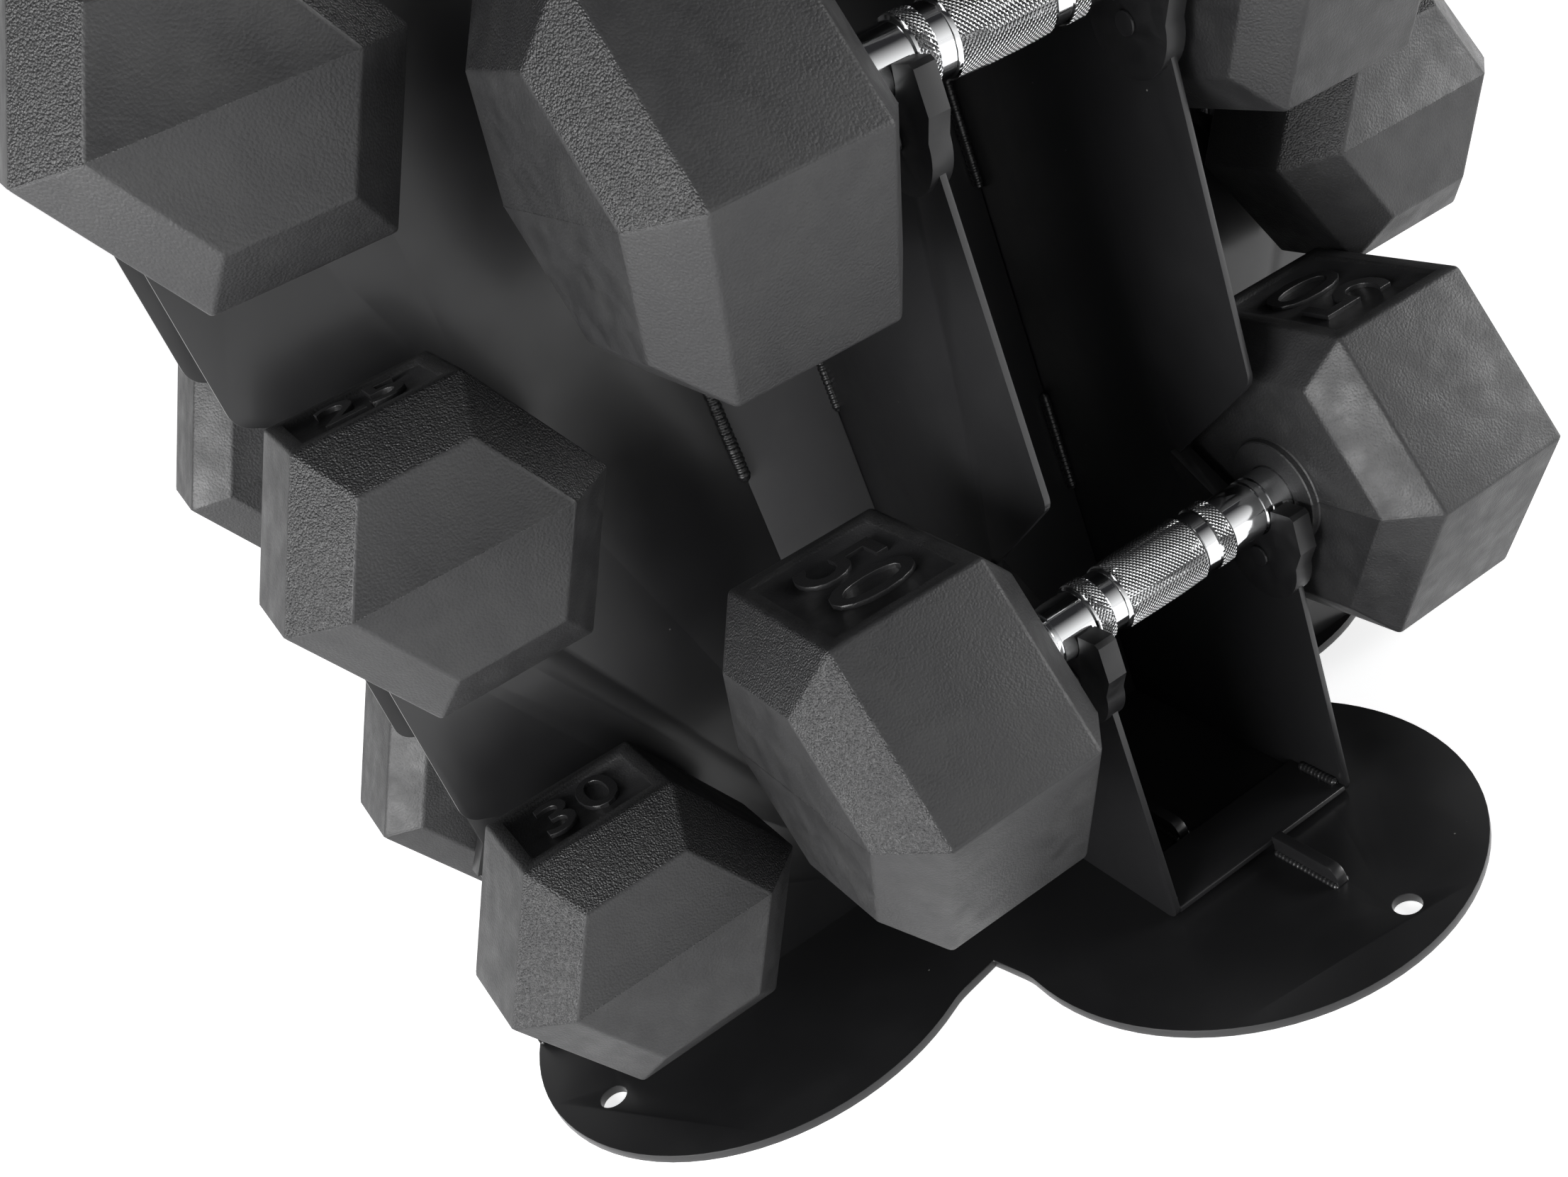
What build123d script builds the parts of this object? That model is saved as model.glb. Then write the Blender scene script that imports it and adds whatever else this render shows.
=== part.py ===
# Four-sided floor tower that holds pairs of hex dumbbells on folded steel sheet,
# with one dumbbell lying across each pair of plastic cradles.
import math
import os

from build123d import *

os.makedirs("parts", exist_ok=True)

# frame
sheet = 3.0            # thickness of every upright sheet
tower_top = 1010.0     # height of the upright sheets
channel_half = 58.0    # half the spacing of the two flanges of a channel
core_gap = 20.0        # distance of the heavy webs from the tower's axis
light_web_out = 82.0   # distance of the light webs from the tower's axis
cap_thickness = 3.0

# base plate
plate = 5.0
lobe_reach = 183.0
lobe_radius = 125.0
neck_half = 119.5
neck_blend = 40.0
lobe_turn = 12.0       # the lobes stand turned from the channels by this angle
bolt_circle = 283.6
bolt_hole = 7.0

# feet of the channels
tie_depth = 40.0
tie_underside = 8.0
rib_width = 6.0
rib_height = 10.0
rib_tip = 292.0        # no rib reaches further from the axis

# cradle, measured from the axis of the handle that lies in it
seat_radius = 17.5     # of the sheet, under the liner
ramp_angle = 35.0
wall_angle = 75.0
ramp_length = 51.0
liner_skin = 3.0
liner_width = 10.0
cheek_radius = 24.0
cheek_drop = 26.0
rivet_radius = 3.0
rivet_head = 5.5
rivet_head_height = 1.8

# heads and handles of the dumbbells
end_ratio = 0.68       # end hexagon over full hexagon
inner_ratio = 0.74
collar_radius = 27.0
handle_core = 25.0     # how far the handle stops short of a head's end face
handle_radius = 14.2   # of the smooth necks, which lie in the liners 0.3 mm clear
grip = 24.0            # half the length of the swollen middle of a handle
ring_start = 32.0      # the knurled ring on either side of it
ring_end = 41.5

# heading is the direction a side faces; centre is its channel's sideways offset
heavy = dict(centre=44.0, web_out=core_gap, handle_out=180.0, front=198.0, lip=27.0, step=66.0,
             tiers=[174.0, 428.0, 682.0, 936.0], inner=[core_gap - sheet / 2] * 2, rib=[7.0, -16.0])
light = dict(centre=-17.0, web_out=light_web_out, handle_out=229.0, front=271.0, lip=30.0, step=58.0,
             tiers=[115.0, 321.0, 498.0, 704.0, 910.0],
             inner=[heavy["centre"] + channel_half + sheet / 2, light_web_out - sheet / 2],
             rib=[0.0, -16.0])
# the right side's cradles stand further out, between the heights of the front's heads
middling = dict(light, handle_out=249.0, front=277.0, lip=26.0, tiers=[65.0, 303.0, 556.0, 810.0])
sides = [("front", -90.0, heavy), ("right", 0.0, middling), ("rear", 90.0, heavy), ("left", 180.0, light)]

# what lies on each side, from the lowest cradle up: weight, width over flats, then
# collar start, inner edge, outer edge and end face from the dumbbell's middle, and
# how far that middle lies off the channel's
loads = {
    "front": [(50, 156.0, 78.0, 98.0, 172.0, 193.0, -10.0), (45, 150.6, 77.0, 96.0, 167.0, 187.0, -10.0),
              (40, 144.8, 75.0, 93.0, 161.0, 180.0, -6.0), (35, 138.5, 73.0, 90.0, 156.0, 174.0, -4.0)],
    "left": [(30, 128.0, 67.0, 83.0, 138.0, 160.0, 0.0), (25, 121.0, 72.0, 84.0, 134.0, 154.0, 6.0),
             (20, 122.0, 77.0, 90.0, 137.0, 157.0, 10.0), (15, 104.0, 68.0, 81.0, 124.0, 141.0, 0.0),
             (10, 91.0, 68.0, 80.0, 116.0, 131.0, 0.0)],
    "right": [(10, 91.0, 68.0, 80.0, 116.0, 131.0, 0.0), (25, 121.0, 68.0, 82.0, 134.0, 154.0, 0.0),
              (20, 118.0, 68.0, 82.0, 130.0, 149.0, 0.0), (15, 104.0, 68.0, 81.0, 124.0, 141.0, 0.0)],
    "rear": [],
}


def side_frame(heading):
    # x runs outwards from the tower's axis, y sideways, z up
    return Plane(origin=(0, 0, 0), x_dir=Vector(1, 0, 0).rotate(Axis.Z, heading), z_dir=(0, 0, 1))


def upright(heading, sideways):
    # a standing drawing plane: x outwards, y up
    frame = side_frame(heading)
    return Plane(origin=frame.y_dir * sideways, x_dir=frame.x_dir, z_dir=frame.x_dir.cross(frame.z_dir))


def around(out, height, angle, reach):
    return (out + reach * math.cos(math.radians(angle)), height + reach * math.sin(math.radians(angle)))


def seat_corner(out, height, radius):
    # where the ramp and the front wall of a seat would meet without its round bottom
    half = (ramp_angle + wall_angle) / 2
    middle = 270 - ramp_angle + half
    return around(out, height, middle, radius / math.cos(math.radians(half)))


def ramp_end(out, height, radius):
    foot = around(out, height, 270 - ramp_angle, radius)
    return around(*foot, 180 - ramp_angle, ramp_length)


def flange_corners(spec, inner):
    # corners of a flange with their rounding, from the inner foot up the stepped front
    out = spec["handle_out"]
    corners = [((inner, plate), 0), ((spec["front"], plate), 8)]
    for height in spec["tiers"]:
        lip = out + spec["lip"]
        corners += [((spec["front"], height - 34), 6), ((lip, height - 16), 4), ((lip, height - 1), 3),
                    ((out + 18.2, height - 1), 1.5),
                    (seat_corner(out, height, seat_radius), seat_radius),
                    (ramp_end(out, height, seat_radius), 2),
                    ((spec["front"], height + spec["step"]), 10)]
    corners.pop()
    corners += [((ramp_end(out, height, seat_radius)[0], tower_top), 0), ((inner, tower_top), 0)]
    return corners


def make_flange(name, heading, spec, sideways, inner):
    corners = flange_corners(spec, inner)
    with BuildPart() as flange:
        with BuildSketch(upright(heading, sideways)):
            with BuildLine():
                for (start, _), (end, _) in zip(corners, corners[1:] + corners[:1]):
                    Line(start, end)
            make_face()
            for place, radius in corners:
                if radius:
                    fillet(vertices().sort_by_distance((*place, 0))[0], radius)
            with Locations(*[(spec["handle_out"], height - cheek_drop) for height in spec["tiers"]]):
                Circle(rivet_radius, mode=Mode.SUBTRACT)
        extrude(amount=sheet / 2, both=True)
    save(flange, name)
    return flange


def make_liners(name, heading, spec, flanges):
    # one folded plastic liner on each cradle, with a slot for the sheet
    out = spec["handle_out"]
    skin = seat_radius - liner_skin
    lip = out + spec["lip"] + liner_skin
    with BuildPart() as liners:
        for sideways in (spec["centre"] - channel_half, spec["centre"] + channel_half):
            with BuildSketch(upright(heading, sideways)):
                for height in spec["tiers"]:
                    back = ramp_end(out, height, skin)
                    with BuildLine():
                        Polyline(seat_corner(out, height, skin), (out + 15.5, height + 2),
                                 (lip - 2, height + 2), (lip, height), (lip, height - 18),
                                 (spec["front"] + 2, height - 34),
                                 (out, height - 44), (back[0] + 2, back[1] - 14), (back[0] - 3, back[1] - 4),
                                 (back[0] - 1, back[1] + 2), close=True)
                    make_face()
                    with Locations((out, height - cheek_drop)):
                        Circle(cheek_radius)
                        Circle(rivet_radius, mode=Mode.SUBTRACT)
                    with Locations((out, height)):
                        Circle(skin, mode=Mode.SUBTRACT)
            extrude(amount=liner_width / 2, both=True)
        for flange in flanges:
            add(flange.part, mode=Mode.SUBTRACT)
    save(liners, name)


def make_dumbbell(side, heading, spec, height, size):
    weight, flats, collar, inner_edge, outer_edge, end, along = size
    frame = side_frame(heading)
    middle = frame.from_local_coords(Vector(spec["handle_out"], spec["centre"] + along, height))
    hexagon = flats / math.sqrt(3)
    reach = end - handle_core
    with BuildPart() as heads:
        for turn in (1, -1):
            axis = frame.y_dir * turn

            def section(distance):
                return Plane(origin=middle + axis * distance, x_dir=frame.x_dir, z_dir=axis)

            with BuildSketch(section(collar)):
                Circle(collar_radius)
            extrude(amount=inner_edge - collar)
            rings = [(inner_edge - (inner_edge - collar) * 0.8, inner_ratio), (inner_edge, 1),
                     (outer_edge, 1), (end, end_ratio)]
            for (near, near_scale), (far, far_scale) in zip(rings, rings[1:]):
                with BuildSketch(section(near)):
                    RegularPolygon(hexagon * near_scale, 6)
                with BuildSketch(section(far)):
                    RegularPolygon(hexagon * far_scale, 6)
                loft()
            with BuildSketch(section(collar)):
                Circle(handle_radius)
            extrude(amount=reach - collar, mode=Mode.SUBTRACT)
    save(heads, f"{side}_{weight}lb_heads")

    bore = handle_radius
    half = [(0, bore + 2.6), (grip, bore + 2.2), (grip, bore + 1), (ring_start, bore + 1),
            (ring_start, bore + 2), (ring_end - 1, bore + 2), (ring_end, bore), (reach, bore), (reach, 0)]
    with BuildPart() as handle:
        with BuildSketch(Plane(origin=middle, x_dir=frame.y_dir, z_dir=frame.x_dir)):
            with BuildLine():
                Polyline(*half, *[(-x, y) for x, y in reversed(half[1:])], close=True)
            make_face()
        revolve(axis=Axis(middle, frame.y_dir))
    save(handle, f"{side}_{weight}lb_handle")


def save(piece, name):
    piece.part.label = name
    export_step(piece.part, f"parts/{name}.step")


# base plate: four round lobes on short arms, with sharp notches between them
with BuildPart() as base_plate:
    with BuildSketch():
        with PolarLocations(0, 4, start_angle=lobe_turn - 90):
            with Locations((lobe_reach / 2, 0)):
                Rectangle(lobe_reach, 2 * neck_half)
            with Locations((lobe_reach, 0)):
                Circle(lobe_radius)
        blend = lobe_reach - math.sqrt(lobe_radius**2 - neck_half**2)
        corner = math.hypot(blend, neck_half)
        for vertex in vertices().filter_by(lambda v: abs(math.hypot(v.X, v.Y) - corner) < 1):
            fillet(vertices().sort_by_distance(vertex)[0], neck_blend)
        with PolarLocations(bolt_circle, 4, start_angle=lobe_turn - 90):
            Circle(bolt_hole, mode=Mode.SUBTRACT)
    extrude(amount=plate)
save(base_plate, "base_plate")

# upright sheets, side by side
for side, heading, spec in sides:
    flanges = []
    for hand, sign, inner in zip(("near", "far"), (-1, 1), spec["inner"]):
        sideways = spec["centre"] + sign * channel_half
        flanges.append(make_flange(f"flange_{side}_{hand}", heading, spec, sideways, inner))
    make_liners(f"liners_{side}", heading, spec, flanges)

    low = -core_gap + sheet / 2
    high = spec["centre"] + channel_half - sheet / 2
    if spec is heavy:
        low = spec["centre"] - channel_half + sheet / 2
    with BuildPart() as web:
        with BuildSketch(side_frame(heading).offset(plate)):
            with Locations((spec["web_out"], (low + high) / 2)):
                Rectangle(sheet, high - low)
        extrude(amount=tower_top - plate)
    save(web, f"web_{side}")

# slanted strips that close the core between a light flange and a heavy one
for name, turn in (("strip_front_left", 1), ("strip_rear_right", -1)):
    outer = [(-light_web_out + sheet / 2, -light["centre"] - channel_half - sheet / 2),
             (heavy["centre"] - channel_half - sheet / 2, -core_gap - sheet / 2)]
    inner = [(x, y + sheet) for x, y in reversed(outer)]
    with BuildPart() as strip:
        with BuildSketch(Plane.XY.offset(plate)):
            with BuildLine():
                Polyline(*[(x * turn, y * turn) for x, y in outer + inner], close=True)
            make_face()
        extrude(amount=tower_top - plate)
    save(strip, name)

# tie plates at the feet of the channels, and ribs on edge on the base plate
with BuildPart() as ties:
    for side, heading, spec in sides:
        with BuildSketch(side_frame(heading).offset(tie_underside)):
            with Locations((spec["front"] - tie_depth / 2 - 1, spec["centre"])):
                Rectangle(tie_depth, 2 * channel_half - sheet)
        extrude(amount=sheet)
save(ties, "tie_plates")

with BuildPart() as ribs:
    for side, heading, spec in sides:
        tip = min(spec["front"] + 46, rib_tip)
        runs = ((spec["front"] + 1, tip), (spec["front"] - 98, spec["front"] - 46))
        for (start, end), shift in zip(runs, spec["rib"]):
            with BuildSketch(upright(heading, spec["centre"] + shift)):
                with Locations(((start + end) / 2, plate + rib_height / 2)):
                    Rectangle(end - start, rib_height)
                fillet(vertices().group_by(Axis.Y)[-1].sort_by(Axis.X)[-1], rib_height * 0.7)
            extrude(amount=rib_width / 2, both=True)
save(ribs, "base_ribs")

# cap over the core and the inner parts of the channels
with BuildPart() as cap:
    with BuildSketch(Plane.XY.offset(tower_top)):
        for side, heading, spec in sides:
            reach = light["handle_out"] - 46 if spec is not heavy else heavy["handle_out"] - 46
            with Locations(Location((0, 0, 0), (0, 0, heading))):
                with Locations((reach / 2, spec["centre"])):
                    Rectangle(reach, 2 * channel_half + 10)
        fillet(vertices().filter_by(lambda v: math.hypot(v.X, v.Y) > 125), 12)
    extrude(amount=cap_thickness)
save(cap, "top_cap")

# rivets through the cheeks of every liner
with BuildPart() as rivets:
    for side, heading, spec in sides:
        for sideways in (spec["centre"] - channel_half, spec["centre"] + channel_half):
            spots = [(spec["handle_out"], height - cheek_drop) for height in spec["tiers"]]
            with BuildSketch(upright(heading, sideways)):
                with Locations(*spots):
                    Circle(rivet_radius)
            extrude(amount=liner_width / 2, both=True)
            for face in (liner_width / 2, -liner_width / 2):
                with BuildSketch(upright(heading, sideways).offset(face)):
                    with Locations(*spots):
                        Circle(rivet_head)
                extrude(amount=math.copysign(rivet_head_height, face))
save(rivets, "liner_rivets")

for side, heading, spec in sides:
    for height, size in zip(spec["tiers"], loads[side]):
        make_dumbbell(side, heading, spec, height, size)
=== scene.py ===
import math
import random

import bmesh
import bpy
from mathutils import Matrix, Vector


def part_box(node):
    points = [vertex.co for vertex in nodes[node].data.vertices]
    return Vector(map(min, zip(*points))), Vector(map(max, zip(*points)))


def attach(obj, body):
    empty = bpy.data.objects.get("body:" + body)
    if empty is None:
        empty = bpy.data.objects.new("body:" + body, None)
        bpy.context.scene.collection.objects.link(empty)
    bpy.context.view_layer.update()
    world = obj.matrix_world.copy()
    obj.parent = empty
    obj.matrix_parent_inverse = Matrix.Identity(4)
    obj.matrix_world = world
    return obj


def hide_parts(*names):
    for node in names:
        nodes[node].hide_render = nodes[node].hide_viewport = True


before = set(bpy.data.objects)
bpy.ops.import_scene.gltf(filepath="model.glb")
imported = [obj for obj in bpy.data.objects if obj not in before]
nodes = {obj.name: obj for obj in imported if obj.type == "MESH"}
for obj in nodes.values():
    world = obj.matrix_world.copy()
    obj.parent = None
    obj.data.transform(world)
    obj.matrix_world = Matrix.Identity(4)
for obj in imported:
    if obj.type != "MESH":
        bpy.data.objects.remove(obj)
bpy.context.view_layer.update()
print("frame loaded")

mm = 0.001
up = Vector((0, 0, 1))
rackNodes = [name for name in nodes if not name.endswith(("_heads", "_handle"))]
dumbbells = sorted({name.rsplit("_", 1)[0] for name in nodes if name.endswith("_handle")})


def toLinear(hexColour):
    # sRGB hex to the linear colour that the shaders take
    parts = [int(hexColour[i:i + 2], 16) / 255 for i in (1, 3, 5)]
    return [p / 12.92 if p <= 0.04045 else ((p + 0.055) / 1.055) ** 2.4 for p in parts] + [1]


def addNode(tree, kind, settings=None, links=None):
    # settings are properties or unlinked sockets; a link comes from a socket or from a node's first output
    node = tree.nodes.new(kind)
    for name, value in (settings or {}).items():
        if isinstance(name, str) and hasattr(node, name):
            setattr(node, name, value)
        else:
            node.inputs[name].default_value = value
    for name, source in (links or {}).items():
        if isinstance(source, bpy.types.Node):
            source = source.outputs[0]
        tree.links.new(source, node.inputs[name])
    return node


def newMaterial(name, colour, roughness, metallic=0.0, **extra):
    material = bpy.data.materials.new(name)
    material.use_nodes = True
    tree = material.node_tree
    shader = tree.nodes["Principled BSDF"]
    shader.inputs["Base Color"].default_value = toLinear(colour)
    shader.inputs["Roughness"].default_value = roughness
    shader.inputs["Metallic"].default_value = metallic
    for socket, value in extra.items():
        shader.inputs[socket.replace("_", " ")].default_value = value
    place = addNode(tree, "ShaderNodeTexCoord").outputs["Object"]
    return material, tree, shader, place


def unevenGloss(tree, shader, place, size, detail, roughness, limits):
    # drifts the shader's roughness between two limits over places size millimetres across
    settings = {"Scale": 1 / (size * mm), "Detail": detail, "Roughness": roughness}
    noise = addNode(tree, "ShaderNodeTexNoise", settings, {"Vector": place})
    low, high = limits
    settings = {"From Min": 0.3, "From Max": 0.7, "To Min": low, "To Max": high}
    drift = addNode(tree, "ShaderNodeMapRange", settings, {"Value": noise})
    tree.links.new(drift.outputs["Result"], shader.inputs["Roughness"])


def raiseSurface(tree, shader, relief, strength, height):
    settings = {"Strength": strength, "Distance": height * mm}
    bump = addNode(tree, "ShaderNodeBump", settings, {"Height": relief})
    tree.links.new(bump.outputs["Normal"], shader.inputs["Normal"])


# Powder coat, sprayed and baked on folded steel sheet: satin black with a faint
# orange peel, a few specks of dust and slightly rubbed patches.
powderCoat = {
    "colour": "#19191a",
    "rubbed": "#1e1e1f",
    "dust": "#6e6e6c",
    "roughness": (0.3, 0.38),
    "peel": 2.2,        # mm between the ripples
    "peelHeight": 0.02,
    "dustSpacing": 19,  # mm
    "dustPatch": 45,    # mm across a place with dust
    "patch": 60,        # mm across a rubbed patch
    "gloss": 25,        # mm across a duller or glossier place
}


def makePowderCoat(values, name="powderCoatBlack"):
    material, tree, shader, place = newMaterial(name, values["colour"], 0.28, IOR=1.5, Coat_Weight=0.12,
                                                Coat_Roughness=0.15)
    settings = {"Scale": 1 / (values["patch"] * mm), "Detail": 4}
    patches = addNode(tree, "ShaderNodeTexNoise", settings, {"Vector": place})
    rubbed = addNode(tree, "ShaderNodeMapRange", {"From Min": 0.52, "From Max": 0.75}, {"Value": patches})
    settings = {"data_type": "RGBA", 6: toLinear(values["colour"]), 7: toLinear(values["rubbed"])}
    body = addNode(tree, "ShaderNodeMix", settings, {0: rubbed})
    settings = {"Scale": 1 / (values["dustSpacing"] * mm)}
    cells = addNode(tree, "ShaderNodeTexVoronoi", settings, {"Vector": place})
    settings = {"From Min": 0.016, "From Max": 0.03, "To Min": 1, "To Max": 0}
    speck = addNode(tree, "ShaderNodeMapRange", settings, {"Value": cells})
    settings = {"Scale": 1 / (values["dustPatch"] * mm), "Detail": 1}
    dustPatches = addNode(tree, "ShaderNodeTexNoise", settings, {"Vector": place})
    few = addNode(tree, "ShaderNodeMapRange", {"From Min": 0.52, "From Max": 0.56}, {"Value": dustPatches})
    dusty = addNode(tree, "ShaderNodeMath", {"operation": "MULTIPLY"}, {0: speck, 1: few})
    settings = {"data_type": "RGBA", 7: toLinear(values["dust"])}
    mixed = addNode(tree, "ShaderNodeMix", settings, {0: dusty, 6: body.outputs[2]})
    tree.links.new(mixed.outputs[2], shader.inputs["Base Color"])
    unevenGloss(tree, shader, place, values["gloss"], 5, 0.6, values["roughness"])
    settings = {"Scale": 1 / (values["peel"] * mm), "Detail": 1}
    peel = addNode(tree, "ShaderNodeTexNoise", settings, {"Vector": place})
    raiseSurface(tree, shader, peel.outputs["Fac"], 0.5, values["peelHeight"])
    return material


# Nitrile and reclaimed rubber, moulded round an iron core: charcoal, dull, with the
# pebbled grain of the mould on its outer slopes and a finer grain elsewhere.
rubber = {
    "colour": "#1f1f20",
    "scuffed": "#272727",
    "sunkPaintedShade": "#1b1b1c",  # the smooth panel that the number stands in, painted darker as shade of the recess
    "scuff": 22,        # mm across a scuff
    "wear": 12,         # mm across a duller or glossier place
    "uneven": (-0.07, 0.1),
    "fine": {"grain": 0.9, "height": 0.16, "roughness": 0.5},
    "pebbled": {"grain": 0.7, "height": 0.55, "roughness": 0.32},
    "polished": {"grain": 0.9, "height": 0.08, "roughness": 0.36},
}


def makeRubber(values, surface, name):
    look = values[surface]
    material, tree, shader, place = newMaterial(name, values["colour"], look["roughness"], IOR=1.52)
    settings = {"Scale": 1 / (values["scuff"] * mm), "Detail": 8, "Roughness": 0.7}
    scuffs = addNode(tree, "ShaderNodeTexNoise", settings, {"Vector": place})
    scuffed = addNode(tree, "ShaderNodeMapRange", {"From Min": 0.45, "From Max": 0.8}, {"Value": scuffs})
    settings = {"data_type": "RGBA", 6: toLinear(values["colour"]), 7: toLinear(values["scuffed"])}
    colour = addNode(tree, "ShaderNodeMix", settings, {0: scuffed})
    tree.links.new(colour.outputs[2], shader.inputs["Base Color"])
    limits = [look["roughness"] + change for change in values["uneven"]]
    unevenGloss(tree, shader, place, values["wear"], 4, 0.5, limits)
    settings = {"Scale": 1 / (look["grain"] * mm), "Detail": 3, "Roughness": 0.6}
    fine = addNode(tree, "ShaderNodeTexNoise", settings, {"Vector": place})
    settings = {"Scale": 1 / (look["grain"] * 1.3 * mm)}
    cells = addNode(tree, "ShaderNodeTexVoronoi", settings, {"Vector": place})
    relief = addNode(tree, "ShaderNodeMath", {"operation": "SUBTRACT"}, {0: fine, 1: cells})
    raiseSurface(tree, shader, relief.outputs[0], 0.8, look["height"])
    return material


# Hard chrome plate on turned steel, polished: a clear mirror with faint finger marks.
# The knurl is drawn coarser than a real one, which is about 1.3 mm, so that it shows.
chrome = {
    "colour": "#eeeff0",
    "roughness": (0.06, 0.18),
    "mark": 9,          # mm across a finger mark
    "knurlPitch": 2.0,  # mm
    "knurlHeight": 0.7,
}


def makeChrome(values, knurled, name):
    material, tree, shader, place = newMaterial(name, values["colour"], 0.1, 1.0)
    settings = {"Scale": 1 / (values["mark"] * mm), "Detail": 5, "Roughness": 0.6}
    noise = addNode(tree, "ShaderNodeTexNoise", settings, {"Vector": place})
    low, high = values["roughness"]
    settings = {"From Min": 0.45, "From Max": 0.8, "To Min": low, "To Max": high}
    marks = addNode(tree, "ShaderNodeMapRange", settings, {"Value": noise})
    tree.links.new(marks.outputs["Result"], shader.inputs["Roughness"])
    if knurled:
        # two sets of crossing grooves leave rows of small pyramids
        unrolled = addNode(tree, "ShaderNodeUVMap", {"uv_map": "unrolled"})
        parts = addNode(tree, "ShaderNodeSeparateXYZ", None, {0: unrolled})
        both = {0: parts.outputs[0], 1: parts.outputs[1]}
        slopes = []
        for operation in ("ADD", "SUBTRACT"):
            across = addNode(tree, "ShaderNodeMath", {"operation": operation}, both)
            wave = {"operation": "PINGPONG", 1: values["knurlPitch"] / 2}
            slopes.append(addNode(tree, "ShaderNodeMath", wave, {0: across}))
        pyramids = addNode(tree, "ShaderNodeMath", {"operation": "MINIMUM"}, {0: slopes[0], 1: slopes[1]})
        raiseSurface(tree, shader, pyramids.outputs[0], 1.0, values["knurlHeight"])
    return material


# Polyethylene, injection moulded: satin black with a soft spread highlight.
polyethylene = {
    "colour": "#141415",
    "roughness": (0.34, 0.5),
    "gloss": 8,         # mm across a duller or glossier place
    "grain": 0.8,       # mm
    "height": 0.03,
}


def makePolyethylene(values):
    material, tree, shader, place = newMaterial("mouldedPolyethylene", values["colour"], 0.42, IOR=1.51)
    unevenGloss(tree, shader, place, values["gloss"], 4, 0.5, values["roughness"])
    settings = {"Scale": 1 / (values["grain"] * mm), "Detail": 2}
    grain = addNode(tree, "ShaderNodeTexNoise", settings, {"Vector": place})
    raiseSurface(tree, shader, grain.outputs["Fac"], 0.6, values["height"])
    return material


coat = makePowderCoat(powderCoat)
onWeld = dict(powderCoat, colour="#1a1a1b", peel=0.9, peelHeight=0.1)  # rougher, over the ripples
weldCoat = makePowderCoat(onWeld, "powderCoatOnWeld")
paintedLightStripValues = dict(powderCoat, colour="#626263", rubbed="#6a6a6b", roughness=(0.36, 0.46))  # grey: painted light, for the light that the strips catch from the front
paintedLightStripCoat = makePowderCoat(paintedLightStripValues, "powderCoatPaintedLight")
fineRubber = makeRubber(rubber, "fine", "mouldedRubberFine")
pebbledRubber = makeRubber(rubber, "pebbled", "mouldedRubberPebbled")
# the panel and the number: a darker colour without scuffs, painted shade of the recess; the smoother
# polish is in the roughness
smoothPaintedShadeLook = dict(rubber, colour=rubber["sunkPaintedShade"], scuffed=rubber["sunkPaintedShade"])
sunkPaintedShadeRubber = makeRubber(smoothPaintedShadeLook, "polished", "mouldedRubberSunkPaintedShade")
plainChrome = makeChrome(chrome, False, "polishedChrome")
knurledChrome = makeChrome(chrome, True, "knurledChrome")
liner = makePolyethylene(polyethylene)
print("materials made")


def finished(shape, name, body, slot, materials, *replaced):
    # puts a bmesh into the scene as a named piece that rides on its body
    mesh = bpy.data.meshes.new(name)
    shape.to_mesh(mesh)
    shape.free()
    for material in materials:
        mesh.materials.append(material)
    piece = bpy.data.objects.new(name, mesh)
    bpy.context.scene.collection.objects.link(piece)
    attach(piece, body)
    if replaced:
        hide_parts(*replaced)
    return piece


def copyOf(name):
    # the CAD node's shape, with its flat faces made whole again
    shape = bmesh.new()
    shape.from_mesh(nodes[name].data)
    bmesh.ops.remove_doubles(shape, verts=shape.verts, dist=1e-6)
    bmesh.ops.dissolve_limit(shape, angle_limit=math.radians(0.6), verts=shape.verts, edges=shape.edges)
    return shape


def soften(shape, width, sharpest=25, segments=2):
    limit = math.radians(sharpest)
    edges = [e for e in shape.edges if len(e.link_faces) == 2 and e.calc_face_angle(0) > limit]
    bmesh.ops.bevel(shape, geom=edges, offset=width, segments=segments, profile=0.6, affect="EDGES",
                    clamp_overlap=True)


def smoothShading(piece, angle=32):
    piece.data.shade_smooth()
    piece.data.set_sharp_from_angle(angle=math.radians(angle))


# rack sheets, liners and rivets: the CAD shapes with their edges rounded
edgeRadius = {
    "liners": (0.9, liner, "liner_plastic"),
    "liner_rivets": (1.2, coat, "rivet_steel"),
    "base_plate": (0.8, coat, "powder_coat"),
    # the slanted strips take the grey coat, painted light for the light they catch from the front
    "strip": (0.45, paintedLightStripCoat, "powder_coat"),
    "other": (0.6, coat, "powder_coat"),
}
for name in rackNodes:
    kind = next((key for key in edgeRadius if name.startswith(key)), "other")
    radius, material, slot = edgeRadius[kind]
    shape = copyOf(name)
    soften(shape, radius * mm)
    piece = finished(shape, name + "_finished", "rack", slot, [material], name)
    smoothShading(piece)
print("rack pieces made")

# hex heads: the CAD shape with moulded edges, a sunk panel and a raised weight on top
head = {
    "edge": 1.5,
    "panelMargin": 7,
    "rim": 0.7,
    "panelDepth": 2.2,
    "digits": 0.82,      # size of the number over the size of its panel
    "digitHeight": 1.8,
    "digitEdge": 0.3,
    "flashWidth": 0.35,
    "flashHeight": 0.3,
}


def addPanel(shape, top):
    # a rimmed recess in the flat top of every head
    tops = [f for f in shape.faces if f.normal.z > 0.999 and f.calc_center_median().z > top - 2 * mm]
    tops = sorted(tops, key=lambda f: -f.calc_area())[:2]
    bmesh.ops.inset_individual(shape, faces=tops, thickness=head["panelMargin"] * mm)
    depth = -head["panelDepth"] * mm
    bmesh.ops.inset_individual(shape, faces=tops, thickness=head["rim"] * mm, depth=depth)
    return [(f.calc_center_median(), f) for f in tops]


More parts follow.
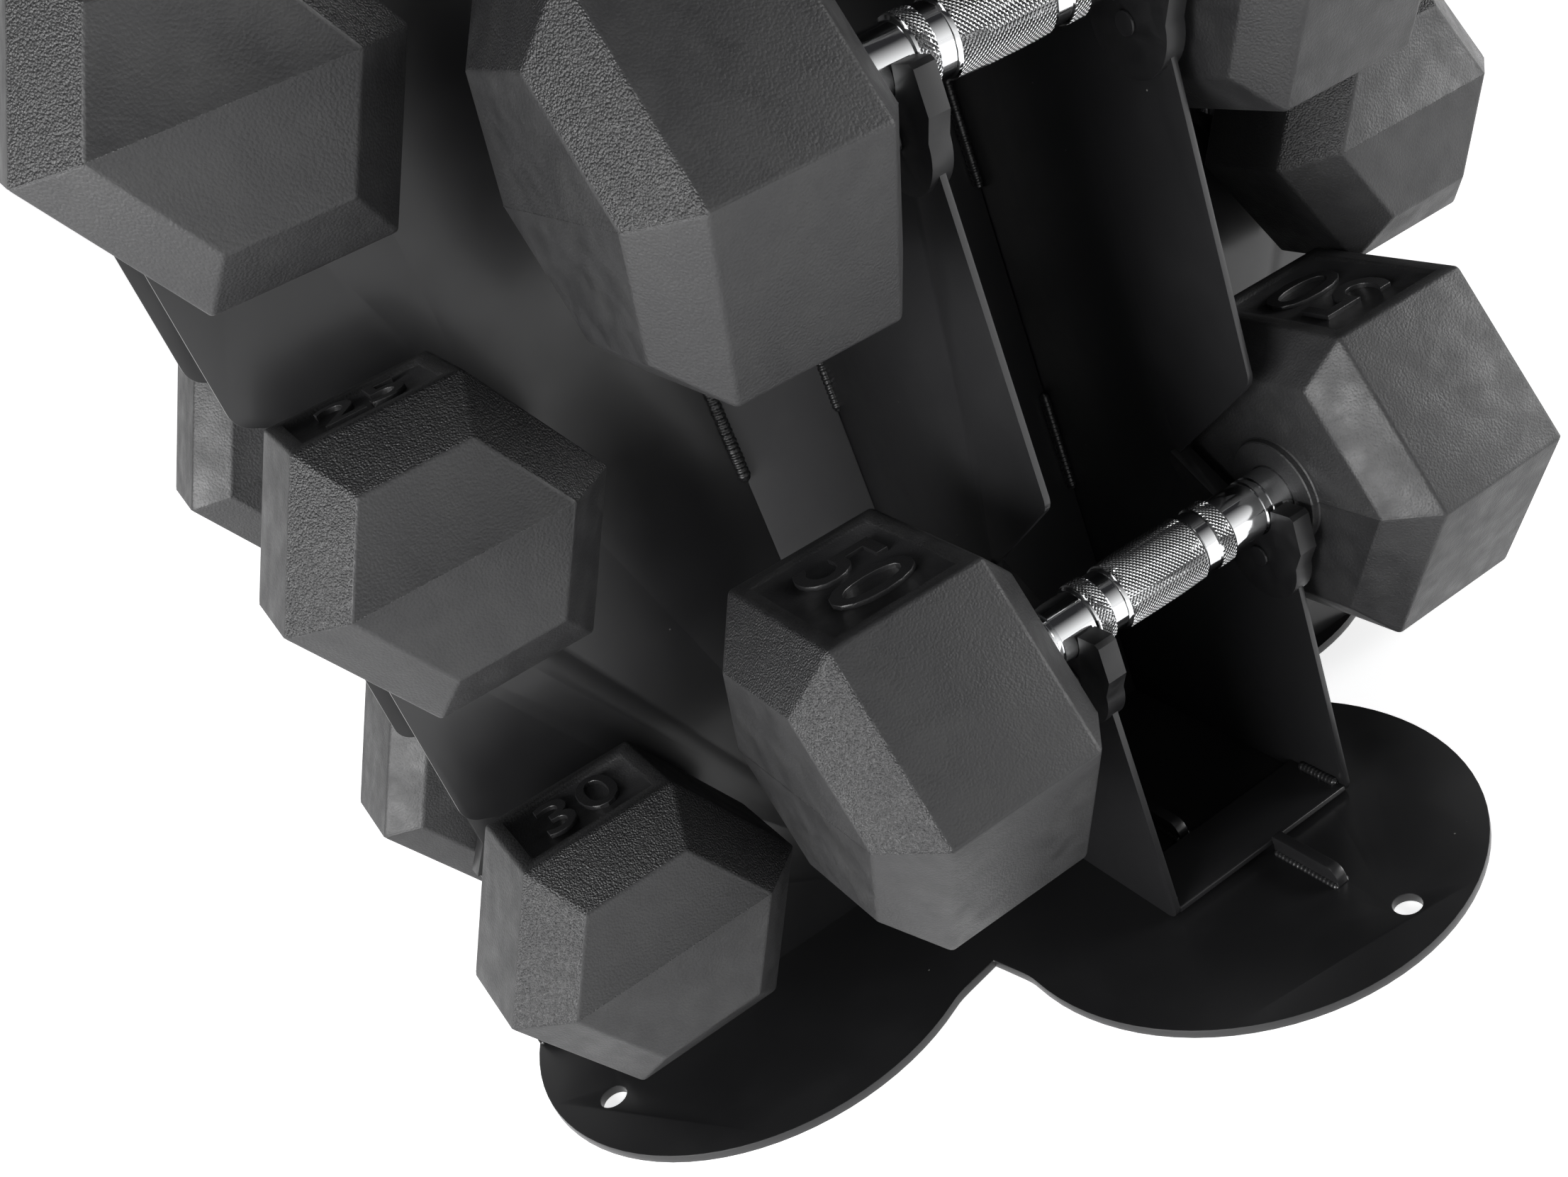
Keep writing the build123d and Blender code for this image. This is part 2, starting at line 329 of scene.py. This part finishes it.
def addFlash(shape, height):
    # the thin line of rubber that the two halves of the mould leave round each head
    every = list(shape.verts) + list(shape.edges) + list(shape.faces)
    cut = bmesh.ops.bisect_plane(shape, geom=every, dist=1e-6, plane_co=(0, 0, height), plane_no=up)
    line = [e for e in cut["geom_cut"] if isinstance(e, bmesh.types.BMEdge)]
    bmesh.ops.bevel(shape, geom=line, offset=head["flashWidth"] * mm, segments=2, affect="EDGES",
                    clamp_overlap=True)
    shape.normal_update()
    crest = [v for v in shape.verts if abs(v.co.z - height) < 1e-6]
    for vert in crest:
        vert.co += vert.normal * head["flashHeight"] * mm


def addDigits(text, place, outwards, size):
    # raised numbers that read from the outer end of the dumbbell
    curve = bpy.data.curves.new("digits", "FONT")
    curve.body = text
    curve.size = size
    curve.extrude = head["digitHeight"] * mm / 2
    curve.bevel_depth = head["digitEdge"] * mm
    curve.bevel_resolution = 1
    curve.resolution_u = 4
    curve.align_x = "CENTER"
    curve.align_y = "CENTER"
    holder = bpy.data.objects.new("digits", curve)
    mesh = bpy.data.meshes.new_from_object(holder)
    top = -outwards
    turn = Matrix((top.cross(up), top, up)).transposed().to_4x4()
    mesh.transform(Matrix.Translation(place + up * head["digitHeight"] * mm / 2) @ turn)
    for face in mesh.polygons:
        face.material_index = 2
    return mesh


for name in dumbbells:
    low, high = (Vector(c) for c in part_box(name + "_heads"))
    axis = Vector((1, 0, 0)) if name.startswith("front") else Vector((0, 1, 0))
    middle = (low + high) / 2
    shape = copyOf(name + "_heads")
    soften(shape, head["edge"] * mm, 12, 3)
    addFlash(shape, middle.z)
    panels = addPanel(shape, high.z)
    weight = name.split("_")[1].replace("lb", "")
    for face in shape.faces:
        # the slopes to the outer ends are pebbled, apart from the ones that face down
        slope = abs(face.normal.dot(axis))
        away = face.normal.dot(axis) * (face.calc_center_median() - middle).dot(axis) > 0
        face.material_index = 1 if 0.35 < slope < 0.9 and away and face.normal.z > -0.15 else 0
    for centre, panel in panels:
        # the panel floor, and the number added below, take the darker rubber that is painted shade of the
        # recess
        panel.material_index = 2
        outwards = axis if (centre - middle).dot(axis) > 0 else -axis
        wide = math.sqrt(panel.calc_area())
        shape.from_mesh(addDigits(weight, centre, outwards, wide * head["digits"]))
    rubbers = [fineRubber, pebbledRubber, sunkPaintedShadeRubber]
    piece = finished(shape, name + "_head_pair", name, "head_rubber", rubbers, name + "_heads")
    smoothShading(piece, 28)
print("heads made")

# handles: turned from the middle out, with knurling on the grip and on the two rings
handle = {
    "radius": 14.2,
    "profile": [  # millimetres from the middle, rise over the radius, knurled or not
        (0, 2.5, 1), (10, 2.45, 1), (22.5, 2.1, 1), (24, 1.6, 0),          # swollen grip
        (24.6, 0.9, 0), (31.4, 0.9, 0),                                    # plain band
        (32, 1.7, 1), (33, 2.0, 1), (40, 2.0, 1), (41, 1.5, 0),            # ring
        (41.5, 0.0, 0), (60, 0.0, 0),                                      # neck
        (60.6, -0.9, 0), (62, -0.9, 0), (62.6, 0.0, 0),                    # first groove
        (64.4, 0.0, 0), (65, -0.9, 0), (66.4, -0.9, 0), (67, 0.0, 0),      # second groove
    ],
    "steps": 72,
}


def makeHandle(name, axis):
    low, high = (Vector(c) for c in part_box(name + "_handle"))
    middle = (low + high) / 2
    reach = (high - low).dot(axis) / 2
    side = axis.cross(up)
    rows = [(along * mm, (handle["radius"] + rise) * mm, knurled)
            for along, rise, knurled in handle["profile"]]
    rows.append((reach, handle["radius"] * mm, 0))
    rows = [(-along, radius, knurled) for along, radius, knurled in reversed(rows[1:])] + rows
    shape = bmesh.new()
    unrolled = shape.loops.layers.uv.new("unrolled")
    rings = []
    spokes = [math.tau * i / handle["steps"] for i in range(handle["steps"])]
    spokes = [side * math.cos(turn) + up * math.sin(turn) for turn in spokes]
    for along, radius, knurled in rows:
        rings.append([shape.verts.new(middle + axis * along + spoke * radius) for spoke in spokes])
    around = math.tau * handle["radius"] / handle["steps"]
    for (start, first), (end, second) in zip(zip(rows, rings), zip(rows[1:], rings[1:])):
        for i in range(handle["steps"]):
            j = (i + 1) % handle["steps"]
            face = shape.faces.new((first[i], first[j], second[j], second[i]))
            face.material_index = 1 if start[2] and end[2] else 0
            corners = ((i, start[0]), (i + 1, start[0]), (i + 1, end[0]), (i, end[0]))
            for loop, (turn, along) in zip(face.loops, corners):
                loop[unrolled].uv = (turn * around, along / mm)
    for ring in (rings[0], rings[-1]):
        shape.faces.new(ring)
    bmesh.ops.recalc_face_normals(shape, faces=shape.faces)
    chromes = [plainChrome, knurledChrome]
    piece = finished(shape, name + "_turned_handle", name, "handle_chrome", chromes, name + "_handle")
    smoothShading(piece, 35)


for name in dumbbells:
    makeHandle(name, Vector((1, 0, 0)) if name.startswith("front") else Vector((0, 1, 0)))
print("handles made")

# weld beads: rows of overlapping ripples along the seams, coated with the rest
weld = {
    "radius": 3.2,
    "ripple": 2.6,       # mm from one ripple to the next
    "slice": 0.65,       # mm from one ring of the mesh to the next
    "steps": 10,
    "stripStitches": [(12, 70), (252, 372), (500, 620), (760, 880)],
    "webStitches": [(145, 205), (320, 378), (560, 640), (820, 900)],
    "tieStitch": (4, 32),
    "tieRise": 0.8,      # of the bead's middle over the tie plate
    "ribRadius": 2.1,
    "ribSeed": 100,
    "halfSheet": 1.5,
    "outerShift": (0.5, 0.3),  # from the corners of a slanted strip to the beads' middles
    "innerShift": (0.5, 4.0),
}


def addBead(shape, start, end, radius, seed):
    chance = random.Random(seed)
    along = end - start
    length = along.length
    direction = along.normalized()
    side = direction.orthogonal().normalized()
    other = direction.cross(side)
    count = max(6, int(length / (weld["slice"] * mm)))
    rings = []
    spokes = [math.tau * k / weld["steps"] for k in range(weld["steps"])]
    spokes = [side * math.cos(turn) + other * math.sin(turn) for turn in spokes]
    for i in range(count + 1):
        distance = length * i / count
        ripple = abs(math.sin(math.pi * distance / (weld["ripple"] * mm)))
        taper = min(1, 0.25 + 3 * min(distance, length - distance) / (3 * radius))
        size = radius * taper * (0.82 + 0.22 * ripple + chance.uniform(-0.04, 0.04))
        centre = start + direction * distance + side * chance.uniform(-0.15, 0.15) * mm
        rings.append([shape.verts.new(centre + spoke * size) for spoke in spokes])
    for first, second in zip(rings, rings[1:]):
        for k in range(weld["steps"]):
            n = (k + 1) % weld["steps"]
            shape.faces.new((first[k], first[n], second[n], second[k]))
    for ring in (rings[0], rings[-1]):
        shape.faces.new(ring)


def seams():
    # start, end and relative size of every bead, from the places of the sheets
    found = []
    halfSheet = weld["halfSheet"] * mm
    for strip, sign in (("strip_front_left", 1), ("strip_rear_right", -1)):
        low, high = (Vector(c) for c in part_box(strip))
        outer, inner = (low, high) if sign > 0 else (high, low)
        (outerX, outerY), (innerX, innerY) = weld["outerShift"], weld["innerShift"]
        ends = [(outer.x - sign * outerX * mm, outer.y - sign * outerY * mm),
                (inner.x + sign * innerX * mm, inner.y - sign * innerY * mm)]
        for bottom, top in weld["stripStitches"]:
            for x, y in ends:
                found.append((Vector((x, y, bottom * mm)), Vector((x, y, top * mm)), 1.0))
    for side, sign in (("front", 1), ("rear", -1)):
        low, high = (Vector(c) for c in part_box("web_" + side))
        x = high.x if sign > 0 else low.x
        y = low.y if sign > 0 else high.y
        for bottom, top in weld["webStitches"]:
            spot = Vector((x - sign * halfSheet, y - sign * halfSheet, 0))
            found.append((spot + up * bottom * mm, spot + up * top * mm, 0.9))
        tie = [Vector(c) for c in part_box("tie_plates")]
        front = tie[0].y if sign > 0 else tie[1].y
        for edge, inward in ((high.x, -1), (low.x, 1)):
            spot = Vector((edge + inward * halfSheet, front, tie[1].z + weld["tieRise"] * mm))
            ahead = Vector((0, sign * mm, 0))
            begin, finish = weld["tieStitch"]
            found.append((spot + ahead * begin, spot + ahead * finish, 0.8))
    return found


shape = bmesh.new()
for number, (start, end, size) in enumerate(seams()):
    addBead(shape, start, end, weld["radius"] * mm * size, number)
piece = finished(shape, "weld_beads", "rack", "powder_coat", [weldCoat])
piece.data.shade_smooth()

# fillet welds along the feet of the ribs on the base plate
ribs = bmesh.new()
ribs.from_mesh(nodes["base_ribs"].data)
bmesh.ops.remove_doubles(ribs, verts=ribs.verts, dist=1e-6)
ribs.verts.index_update()
shape = bmesh.new()
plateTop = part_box("base_plate")[1][2]
left = set(ribs.verts)
number = weld["ribSeed"]
while left:
    # one rib at a time, always in the same order
    island = {min(left, key=lambda v: v.index)}
    left -= island
    fresh = set(island)
    while fresh:
        fresh = {e.other_vert(v) for v in fresh for e in v.link_edges} & left
        left -= fresh
        island |= fresh
    low = Vector([min(v.co[k] for v in island) for k in range(3)])
    high = Vector([max(v.co[k] for v in island) for k in range(3)])
    long = 0 if high.x - low.x > high.y - low.y else 1
    for edge in (low[1 - long], high[1 - long]):
        start, end = Vector((0, 0, plateTop)), Vector((0, 0, plateTop))
        start[long], end[long] = low[long], high[long]
        start[1 - long] = end[1 - long] = edge
        addBead(shape, start, end, weld["ribRadius"] * mm, number)
        number += 1
ribs.free()
piece = finished(shape, "rib_welds", "rack", "powder_coat", [weldCoat])
piece.data.shade_smooth()
print("weld beads made")

# studio: white floor that runs out to the white surroundings
floorMesh = bmesh.new()
bmesh.ops.create_grid(floorMesh, x_segments=8, y_segments=8, size=40)
mesh = bpy.data.meshes.new("studioFloor")
floorMesh.to_mesh(mesh)
floorMesh.free()
floor = bpy.data.objects.new("studioFloor", mesh)
bpy.context.scene.collection.objects.link(floor)
# White board, painted matt and lit from below as well, so that its far side stays white.
floorPaint, tree, shader, place = newMaterial("whiteStudioBoard", "#f4f4f5", 0.6)
shader.inputs["Emission Color"].default_value = toLinear("#ffffff")
shader.inputs["Emission Strength"].default_value = 0.75
mesh.materials.append(floorPaint)

studio = {
    "world": ("#ffffff", "#2c2c2e", 1.0),  # at the horizon and below, overhead, strength
    "lamps": [  # name, place in metres, size in metres, watts
        ("left", (-2.2, -0.9, 0.5), 1.5, 90),
        ("right", (2.4, -1.6, 0.9), 1.2, 46),
        ("above", (-0.3, -0.6, 2.8), 1.2, 7),
    ],
    "aim": (0.0, -0.1, 0.35),
}
world = bpy.data.worlds.new("studioWorld")
bpy.context.scene.world = world
world.use_nodes = True
tree = world.node_tree
low, high, strength = studio["world"]
heading = addNode(tree, "ShaderNodeTexCoord").outputs["Generated"]
height = addNode(tree, "ShaderNodeSeparateXYZ", None, {0: heading}).outputs[2]
rise = addNode(tree, "ShaderNodeMapRange", {"From Min": 0.1, "From Max": 0.75}, {"Value": height})
sky = addNode(tree, "ShaderNodeMix", {"data_type": "RGBA", 6: toLinear(low), 7: toLinear(high)}, {0: rise})
tree.links.new(sky.outputs[2], tree.nodes["Background"].inputs["Color"])
tree.nodes["Background"].inputs["Strength"].default_value = strength
for name, spot, size, power in studio["lamps"]:
    lamp = bpy.data.lights.new(name, "AREA")
    lamp.size = size
    lamp.energy = power
    holder = bpy.data.objects.new(name, lamp)
    holder.location = spot
    holder.rotation_euler = (Vector(studio["aim"]) - Vector(spot)).to_track_quat("-Z", "Y").to_euler()
    bpy.context.scene.collection.objects.link(holder)

# camera: above and in front, turned to the left and rolled
view = {
    "place": (-0.3145, -0.75, 0.5465),
    "turn": (58.86, 17.83, -33.30),
    "lens": 38.07,
    "shift": (-0.1017, 0.0407),
}
camera = bpy.data.cameras.new("camera")
camera.sensor_width = 36
camera.lens = view["lens"]
camera.shift_x, camera.shift_y = view["shift"]
camera.clip_start = 0.01
holder = bpy.data.objects.new("camera", camera)
holder.location = view["place"]
holder.rotation_euler = [math.radians(angle) for angle in view["turn"]]
bpy.context.scene.collection.objects.link(holder)
bpy.context.scene.camera = holder
bpy.context.scene.view_settings.view_transform = "Standard"
print("studio set")
